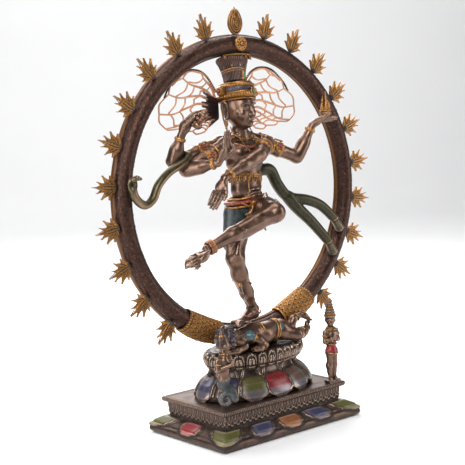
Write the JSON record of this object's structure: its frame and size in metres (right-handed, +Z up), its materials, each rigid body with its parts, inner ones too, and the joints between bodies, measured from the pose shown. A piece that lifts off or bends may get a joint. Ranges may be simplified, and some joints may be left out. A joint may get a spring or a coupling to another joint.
{
  "type": "deity statue",
  "caption": "Four-armed dancing deity statue inside an upright ring of flames, one foot on a reclining dwarf, on an oval lotus seat and stepped rectangular plinth.",
  "frame": {"origin": "centre of the base's underside, on the surface it stands on", "axes": "+Z up through the statue, X along the plane of the ring and the plinth's long side, the figure faces -Y"},
  "size_m": [0.4266, 0.146, 0.5065],
  "materials": {
    "felt": "black felt",
    "plinth_resin": "cast resin, dark bronze with painted petals",
    "lotus_resin": "cast resin, bronze with silver highlights",
    "ring_resin": "cast resin, red-brown bronze",
    "gold_paint": "cast resin, antique gold paint",
    "skin_resin": "cast resin, polished bronze with dark wash",
    "crest_resin": "cast resin, dark paint",
    "hair_metal": "thin etched plate, copper fading to dark brown",
    "flame_resin": "cast resin, gold over dark wash",
    "cloth_resin": "cast resin, grey-violet and teal paint",
    "snake_resin": "cast resin, green over bronze",
    "sash_resin": "cast resin, dark olive"
  },
  "bodies": {
    "root": {"anklets": "gold_paint", "arm_back_left": "skin_resin", "arm_back_right": "skin_resin", "arm_front_left": "skin_resin", "arm_front_right": "skin_resin", "armbands": "gold_paint", "bell_garter": "gold_paint", "belt": "gold_paint", "bracelets": "gold_paint", "crown": "gold_paint", "dwarf_body": "skin_resin", "dwarf_head": "skin_resin", "earrings": "gold_paint", "felt_pad": "felt", "flame_01": "flame_resin", "flame_02": "flame_resin", "flame_03": "flame_resin", "flame_04": "flame_resin", "flame_05": "flame_resin", "flame_06": "flame_resin", "flame_07": "flame_resin", "flame_08": "flame_resin", "flame_09": "flame_resin", "flame_10": "flame_resin", "flame_11": "flame_resin", "flame_12": "flame_resin", "flame_13": "flame_resin", "flame_14": "flame_resin", "flame_15": "flame_resin", "flame_16": "flame_resin", "flame_17": "flame_resin", "flame_18": "flame_resin", "flame_19": "flame_resin", "flame_20": "flame_resin", "flame_21": "flame_resin", "garment": "cloth_resin", "hair_crest": "crest_resin", "hair_fan_left": "hair_metal", "hair_fan_right": "hair_metal", "hand_drum": "gold_paint", "hand_flame": "flame_resin", "head": "skin_resin", "leg_raised": "skin_resin", "leg_standing": "skin_resin", "lotus_dome": "plinth_resin", "lotus_seat": "lotus_resin", "necklace": "gold_paint", "plinth": "plinth_resin", "ring": "ring_resin", "ring_cuff_left": "gold_paint", "ring_cuff_right": "gold_paint", "sage_left": "skin_resin", "sage_left_hair": "crest_resin", "sage_right": "skin_resin", "sage_right_hat": "crest_resin", "sash": "sash_resin", "snake": "snake_resin", "torso": "skin_resin"}
  },
  "joints": []
}
